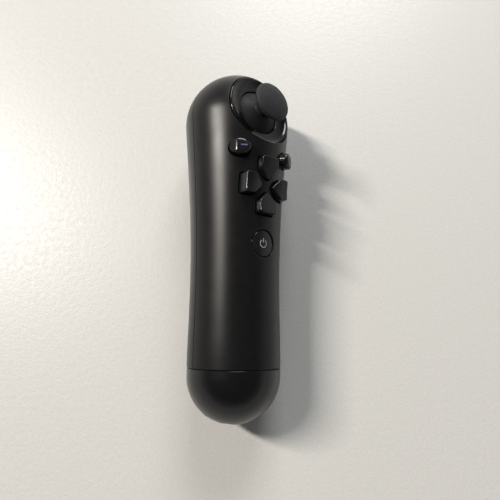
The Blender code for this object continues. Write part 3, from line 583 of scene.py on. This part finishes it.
def front_shell():
    shell = boolean(hollow_grip(), box((-40, -80, -60), (40, 80, PARTING_Z + GAP / 2)))
    cutters = [mouth(oval(DISH_R + GAP, steps=120), STICK, 9)]
    cutters += [mouth(offset(key_outline(quarter), KEY_HOLE_GAP), FRONT, 8) for quarter in range(4)]
    for side in (-1, 1):
        cutters.append(mouth(oval(FACE_A + GAP, FACE_B + GAP), face_axes(side), 12))
    cutters.append(mouth([(u, v + HOME_Y) for u, v in oval(HOME_R + GAP)], FRONT, 8, 0.5))
    shell = boolean(shell, *cutters)
    piece("front_shell_moulding", "grip", LOOKS["body_plastic"], shell, ["front_shell"], skin=True)


def label_block(grow=0.0):
    """A block through the back of the grip, with the rating label's outline grown by grow."""
    outline = rectangle(LABEL_HALF[0] + grow, LABEL_HALF[1] + grow, 1.6)
    return slab([(u, v - LABEL_Y) for u, v in outline], 10, 30, REAR)


def rear_shell():
    shell = boolean(hollow_grip(), box((-40, -80, PARTING_Z - GAP / 2), (40, 80, 60)))
    bosses = []
    cutters = []
    for x, y in SHELL_SCREWS:
        inside = math.sqrt(skin_r(y) ** 2 - x ** 2) - 1.0
        bosses.append(rod(2.9, 9.4, inside, REAR, (x, -y)))
        cutters.append(rod(1.15, 5, 30, REAR, (x, -y)))
        cutters.append(mouth([(x + u, -y + v) for u, v in oval(2.15, steps=40)], REAR, -SCREW_SEAT_Z, 0.2))
    shell = boolean(shell, *bosses, how="UNION")
    opening = [(u, v - 27.45) for u, v in rectangle(TRIGGER_HALF + 0.4, 15.75, 0.9)]
    cutters.append(mouth(opening, REAR, 8))
    cutters.append(mouth(rectangle(*(half + GAP for half in SHOULDER_HALF), 2.2), SHOULDER, 12))
    cutters.append(mouth([(u, -RESET_Y + v) for u, v in oval(1.1, steps=32)], REAR, 10, 0.2))
    shell = boolean(shell, *cutters)
    recess = boolean(band(*LABEL_SPAN, -0.45, 1), label_block(GAP), how="INTERSECT")
    shell = boolean(shell, recess)
    piece("rear_shell_moulding", "grip", LOOKS["body_plastic"], shell, ["rear_shell"], skin=True)
    label = boolean(band(*LABEL_SPAN, -0.3, -0.1), label_block(), how="INTERSECT")
    piece("rating_label_film", "grip", LOOKS["label_film"], label, ["rating_label"])


def contact_axes(side):
    return tail_axes(CONTACT_LEAN, side * CONTACT_X)


def tail_cap():
    seam, round_r = SEAM_Y - GAP / 2, 0.2
    corner_r = skin_r(seam)
    outer = arc(TAIL_R, (0, TAIL_Y), -90, 0, 34)[1:] + [(corner_r, seam - 0.9)]
    outer += arc(round_r, (corner_r - round_r, seam - round_r), 0, 90, 4)
    spigot = [(15.45, seam), (15.45, -45), (14.25, -45), (14.25, -50.5)]
    inner = arc(TAIL_R - WALL, (0, TAIL_Y), 0, -90, 10)[:-1] + [(0, TAIL_Y - TAIL_R + WALL)]
    cap = turned([(0, TAIL_Y - TAIL_R)] + outer + spigot + inner)
    cutters = [slab(rectangle(5.6, 3.9, 1.8), -PORT_LAND_Y, 80, PORT)]
    cutters.append(slab(rectangle(4.3, 2.45, 0.6), 60, 80, PORT))
    for side in (-1, 1):
        cutters.append(mouth(rectangle(1.9, 0.9, 0.5), contact_axes(side), 10, 0.2, spacing=0.2))
    for lean in STRAP_SLOTS:
        cutters.append(mouth(rectangle(2.2, 1.5, 1.0), tail_axes(lean), 8, 0.25, spacing=0.25))
    cutters.append(box((-3.3, -46.6, -18), (3.3, -44, -8)))
    piece("tail_cap_moulding", "grip", LOOKS["cap_plastic"], boolean(cap, *cutters), ["tail_cap"], skin=True)


# ---------------------------------------------------------------- thumbstick
def smooth_line(points, steps=6):
    """Points on a smooth curve (Catmull-Rom) through the given ones."""
    p = [Vector(points[0]), *map(Vector, points), Vector(points[-1])]
    out = []
    for a, b, c, d in zip(p, p[1:], p[2:], p[3:]):
        for k in range(steps):
            t = k / steps
            bend = (2 * a - 5 * b + 4 * c - d) * t * t + (3 * b - a - 3 * c + d) * t ** 3
            out.append(tuple(b + 0.5 * ((c - a) * t + bend)))
    out.append(tuple(p[-1]))
    return out


def thumbstick():
    lip = [(DISH_R, 14.75), (14.42, 15.1), (14.28, 15.36), (13.95, 15.45), (13.55, 15.36), (12.9, 14.98)]
    dish = [(11.8, 14.56), (10.4, 14.3), (9.4, 14.18), (9.17, 14.05), (DISH_HOLE_R, 13.9)]
    under = [(10.6, 13.35), (12.2, 12.4), (DISH_R, 12.3)]
    piece("stick_bowl", "grip", LOOKS["gloss_black"], turned(smooth_line(lip + dish, 5) + under, STICK),
          ["stick_bezel"])

    place = axes(STICK_PIVOT, STICK.to_3x3() @ Vector((0, 0, 1)))
    top = STICK_TOP_H - PIVOT_H
    neck = [(0, top - 1.6), (2.6, top - 1.6), (2.6, top - 3.2), (4.0, top - 3.3)]
    flare = smooth_line([(4.1, top - 3.4), (3.85, 13.5), (3.75, 12.7), (4.1, 11.8)], 5)
    skirt = arc(SKIRT_R, (0, 0), 66, 29, 24) + arc(SKIRT_R - 1.1, (0, 0), 28, 79, 16)
    core = turned(neck + flare + skirt + [(2.2, 9.6), (0, 9.6)], place, 96)
    core = boolean(core, box((-1.12, -1.12, -2.9), (1.12, 1.12, 10.4), place), how="UNION")
    piece("thumbstick_skirt", "thumbstick", LOOKS["stick_plastic"], core, ["thumbstick_core"])

    hollow = [(0, top - 1.3), (2.9, top - 1.3), (2.9, top - 2.9)]
    under = smooth_line([(2.9, top - 2.9), (4.6, top - 2.8), (6.2, top - 2.5), (7.1, top - 2.0)], 4)[1:]
    edge = arc(1.0, (STICK_CAP_R - 1.0, top - 1.05), -50, 50, 10)
    crown = [edge[-1], (6.5, top + 0.08), (4.6, top + 0.62), (2.4, top + 0.96), (0, top + 1.07)]
    crown = smooth_line(crown, 5)[1:]
    piece("thumbstick_rubber_cap", "thumbstick", LOOKS["stick_rubber"],
          turned(hollow + under + edge + crown, place, 96), ["thumbstick_cap"])


# ---------------------------------------------------------------- keys and buttons
def direction_pad():
    arm, wide, up, out = 3.1, 3.9, KEY_END + 0.2, SIDE_KEY_END + 0.3
    cross = [(arm, up), (-arm, up), (-arm, wide), (-out, wide), (-out, -wide), (-arm, -wide),
             (-arm, -up), (arm, -up), (arm, -wide), (out, -wide), (out, wide), (arm, wide)]
    ring = turned([(15.8, PAD_Y + 14), (15.8, PAD_Y - 14), (14.4, PAD_Y - 14), (14.4, PAD_Y + 14)])
    plate = boolean(ring, slab([(x, y + PAD_Y) for x, y in cross], 5, 30), how="INTERSECT")
    keys = []
    for quarter in range(4):
        sideways = quarter % 2
        slope = 0.3 if sideways else 0.2

        def top(u, v, slope=slope):
            """Each key rises away from the pad's middle."""
            return skin_height(FRONT, u, v, 1.4 + slope * (math.hypot(u, v - PAD_Y) - 3))
        keys.append(button_cap(key_outline(quarter), FRONT, 11.4 if sideways else 14.7, top, 0.4))
    pad = boolean(plate, rod(2.4, 13.5, 15.2, at=(0, PAD_Y)), *keys, how="UNION")
    piece("direction_pad_keys", "direction_pad", LOOKS["key_plastic"], pad, ["direction_pad"])


def facet(mesh, place, end, height, slope, softness=0.16):
    """Planes off one end of a button, from the height that it has there, and leaves a soft ridge."""
    to_place = place.inverted()
    for vertex in mesh.vertices:
        at = to_place @ vertex.co
        limit = height + (end - at.x) * slope
        over = (at.z - limit) / softness
        if over > -6:
            at.z = limit - softness * math.log1p(math.exp(-over)) if over < 30 else limit
            vertex.co = place @ at


def face_buttons():
    surface = skin_r(FACE_Y)
    crown = surface + FACE_PROUD
    top = [(0, crown + 0.06), (0.26, crown + 0.045), (0.52, crown)]
    edge = [(0.52, crown), (0.74, crown - 0.1), (0.9, crown - 0.42), (0.985, crown - 0.95), (1, crown - 1.5)]
    profile = smooth_line(top, 8)[:-1] + smooth_line(edge, 6) + [(1, 15.75), (0, 15.75)]
    for side, name in ((-1, "left"), (1, "right")):
        place = face_axes(side)
        cap = turned(profile, place @ Matrix.Diagonal((FACE_A, FACE_B, 1, 1)), 144)
        facet(cap, place, FACE_A, surface + 0.9, 0.795)
        flange = slab([(u + 0.6, v) for u, v in oval(4.9, 3.85)], 15.75, 16.45, place)
        cap = boolean(cap, flange, slab(oval(2.6, 2.2), 14.3, 16.2, place), how="UNION")
        body = f"{name}_button"
        piece(f"{name}_button_cap", body, LOOKS["key_plastic"], cap, [f"{name}_button"], angle=24)
        top = crown + 0.1
        bar, half = 1.2, 0.26
        on_top = place @ Matrix.Translation((-1.3, 0, 0))
        mark = slab(rectangle(bar, half, 0.2), top - 0.3, top, on_top)
        if side > 0:
            mark = boolean(mark, slab(rectangle(half, bar, 0.2), top - 0.3, top, on_top), how="UNION")
        ink = "blue_ink" if side < 0 else "red_ink"
        sign = piece(f"{name}_button_mark", body, LOOKS[ink], mark)


def home_button():
    outline = [(u, v + HOME_Y) for u, v in oval(HOME_R)]
    cap = button_cap(outline, FRONT, 13.4, -HOME_SUNK, 0.35)
    flange = slab([(u, v + HOME_Y) for u, v in oval(5.7)], 13.3, 14.0)
    cap = boolean(cap, flange, how="UNION")
    piece("home_button_cap", "home_button", LOOKS["key_plastic"], cap, ["home_button"])

    def inked(outline):
        """The outline as a thin film on the button's top."""
        film = band(HOME_Y - 3, HOME_Y + 3, -HOME_SUNK - 0.1, -HOME_SUNK + 0.02, 8)
        return boolean(film, slab(outline, 10, 30), how="INTERSECT")

    inner, outer = 1.25, 1.6
    arc_mark = arc(outer, (0, HOME_Y), 125, 415, 40) + arc(inner, (0, HOME_Y), 415, 125, 40)
    stroke = [(-0.18, HOME_Y + 0.35), (0.18, HOME_Y + 0.35), (0.18, HOME_Y + 1.95), (-0.18, HOME_Y + 1.95)]
    marks = joined(inked(arc_mark), inked(stroke))
    sign = piece("home_button_standby_mark", "home_button", LOOKS["grey_ink"], marks)


def rear_buttons():
    cap = button_cap(rectangle(*SHOULDER_HALF, 2.0), SHOULDER, 16.2, SHOULDER_PROUD, 0.6)
    flange = slab(rectangle(7.6, 4.8, 2.2), 15.6, 16.5, SHOULDER)
    cap = boolean(cap, flange, rod(1.6, 13.9, 15.9, SHOULDER), how="UNION")
    piece("shoulder_button_cap", "shoulder_button", LOOKS["key_plastic"], cap, ["shoulder_button"])
    stem, flange_r, round_r = 0.8, 1.7, 0.2
    tip = arc(round_r, (stem - round_r, 16.9 - round_r), 0, 90, 5)
    profile = [(0, 9.9), (stem, 9.9), (stem, 11.6), (flange_r, 11.6), (flange_r, 12.6), (stem, 12.6)]
    profile += tip + [(0, 16.9)]
    piece("reset_button_pin", "reset_button", LOOKS["key_plastic"],
          turned(profile, REAR @ Matrix.Translation((0, -RESET_Y, 0)), 40), ["reset_button"])


def trigger():
    tip = TRIGGER_EDGE_Z - TRIGGER_EDGE_R
    barrel = arc(2.95, (HINGE_Y, HINGE_Z), 0, 170, 20)
    inner = smooth_line([(36.4, -12.9), (30, -13.4), (22, -14.2), (17.2, -14.7), (15.6, -16.2), (15.0, -18.4),
                         (13.6, -20.2), (13.0, tip + 1.3)], 5)
    edge = smooth_line([(13.0, tip + 1.1), (13.45, tip + 0.28), (TRIGGER_TIP_Y, tip), (15.5, tip + 0.22),
                        (17.5, tip + 1.3), (21, tip + 2.4), (26, tip + 2.9), (31, tip + 2.6), (36, tip + 2.2),
                        (40, tip + 2.25), (42.0, tip + 2.9), (42.5, tip + 4.4), (42.45, -17)], 6)
    lever = slab(barrel + inner + edge[1:], -TRIGGER_HALF, TRIGGER_HALF, SIDE)
    spread_angle = math.degrees(math.asin((TRIGGER_HALF - 0.5) / TRIGGER_EDGE_R))
    bottom = arc(TRIGGER_EDGE_R, (0, TRIGGER_EDGE_Z), -90 - spread_angle, -90 + spread_angle, 40)
    corner_z = bottom[-1][1] + 0.55
    section = bottom + [(TRIGGER_HALF - 0.14, corner_z - 0.34), (TRIGGER_HALF, corner_z), (TRIGGER_HALF, -5),
                        (-TRIGGER_HALF, -5), (-TRIGGER_HALF, corner_z),
                        (-TRIGGER_HALF + 0.14, corner_z - 0.34)]
    lever = boolean(lever, slab(section, -60, 0, SECTION), how="INTERSECT")
    lever = boolean(lever, rod(PIN_R + 0.08, -12, 12, HINGE), box((-2.7, 31, -16.6), (2.7, 46, -5)))
    piece("trigger_lever", "trigger", LOOKS["key_plastic"], lever, ["trigger"], angle=30)


# ---------------------------------------------------------------- small hardware
def shell_screws():
    seat = -SCREW_SEAT_Z + 0.02
    head_r, shaft_r, head_h, round_r = 1.85, 0.8, 1.4, 0.3
    for k, (x, y) in enumerate(SHELL_SCREWS):
        place = REAR @ Matrix.Translation((x, -y, 0))
        edge = arc(round_r, (head_r - round_r, seat + head_h - round_r), 0, 90, 5)
        profile = [(0, 3.0), (shaft_r, 3.0), (shaft_r, seat), (head_r, seat)] + edge + [(0, seat + head_h)]
        made = turned(profile, place, 48)
        slots = [box((-a, -b, seat + head_h - 0.6), (a, b, seat + head_h + 1), place)
                 for a, b in ((1.05, 0.24), (0.24, 1.05))]
        made = boolean(made, *slots)
        piece(f"shell_screw_{k + 1}_head", "grip", LOOKS["dark_steel"], made, [f"shell_screw_{k + 1}"])


def charging_end():
    shell = slab(rectangle(3.9, 2.1, 0.5), 58.2, 67.3, PORT)
    shell = boolean(shell, slab(rectangle(3.5, 1.7, 0.4), 58.8, 70, PORT))
    piece("charging_port_shell", "grip", LOOKS["steel"], shell, ["port_shell"])
    for side, name in ((-1, "left"), (1, "right")):
        outline = rectangle(1.45, 0.5, 0.2)
        stud = button_cap(outline, contact_axes(side), 14.2, lambda u, v: CONTACT_TOP, 0.12, spacing=0.2)
        piece(f"charging_contact_{name}_stud", "grip", LOOKS["gold"], stud, [f"charging_contact_{name}"])
    eye = tail_axes(sum(STRAP_SLOTS) / 2)
    across = axes(eye @ Vector((0, 0, 13.8)), (1, 0, 0), eye.to_3x3() @ Vector((0, 0, 1)))
    profile = [(0, -4.3)] + arc(0.2, (0.7, -4.1), -90, 0, 4) + arc(0.2, (0.7, 4.1), 0, 90, 4) + [(0, 4.3)]
    piece("strap_eye_bar", "grip", LOOKS["steel"], turned(profile, across, 32), ["strap_bar"])


front_shell()
rear_shell()
tail_cap()
thumbstick()
direction_pad()
face_buttons()
home_button()
rear_buttons()
trigger()
shell_screws()
charging_end()


# ---------------------------------------------------------------- table and light
TABLE_HALF = 3.0  # metres


def table_top():
    """Pale laminate with a fine pebbled gloss."""
    made, tree, shader = new_material("table_laminate")
    fine, pebble = noise(tree, 0.9, 3, 0.6), noise(tree, 2.2, 2, 0.5)
    tree.links.new(blend_colours(tree, spread(tree, fine, 0, 1), (0.56, 0.555, 0.53), (0.62, 0.615, 0.59)),
                   shader.inputs["Base Color"])
    tree.links.new(spread(tree, pebble, 0.32, 0.46), shader.inputs["Roughness"])
    add_bump(tree, shader, [fine, pebble], [0.05, 0.06])
    sheet = bpy.data.meshes.new("table")
    sheet.from_pydata([(x, y, 0) for x, y in rectangle(TABLE_HALF, TABLE_HALF)], [], [(0, 1, 2, 3)])
    sheet.materials.append(made)
    top = bpy.data.objects.new("table", sheet)
    bpy.context.scene.collection.objects.link(top)


def area_light(name, place, size, power, colour, aim=(0, 0, 0.02)):
    data = bpy.data.lights.new(name, "AREA")
    data.shape = "RECTANGLE"
    data.size, data.size_y = size
    data.energy = power
    data.color = colour
    made = bpy.data.objects.new(name, data)
    bpy.context.scene.collection.objects.link(made)
    towards = Vector(aim) - Vector(place)
    made.matrix_world = Matrix.Translation(place) @ towards.to_track_quat("-Z", "Y").to_matrix().to_4x4()


def room():
    """Pale walls under a dark ceiling."""
    world = bpy.data.worlds.new("room")
    world.use_nodes = True
    tree = world.node_tree
    background = tree.nodes["Background"]
    background.inputs["Color"].default_value = (0.97, 0.98, 1, 1)
    direction = tree.nodes.new("ShaderNodeTexCoord")
    parts = tree.nodes.new("ShaderNodeSeparateXYZ")
    tree.links.new(direction.outputs["Generated"], parts.inputs["Vector"])
    tree.links.new(spread(tree, parts.outputs["Z"], 0.6, 0.11, 0.06, 0.42), background.inputs["Strength"])
    bpy.context.scene.world = world


table_top()
area_light("ceiling_strip", (-1.27, 0.62, 1.55), (0.12, 0.76), 47, (1, 0.94, 0.87))
area_light("window", (0.16, 0.98, 0.64), (0.5, 0.5), 9.5, (0.96, 0.98, 1))
room()
bpy.context.scene.view_settings.view_transform = "Standard"
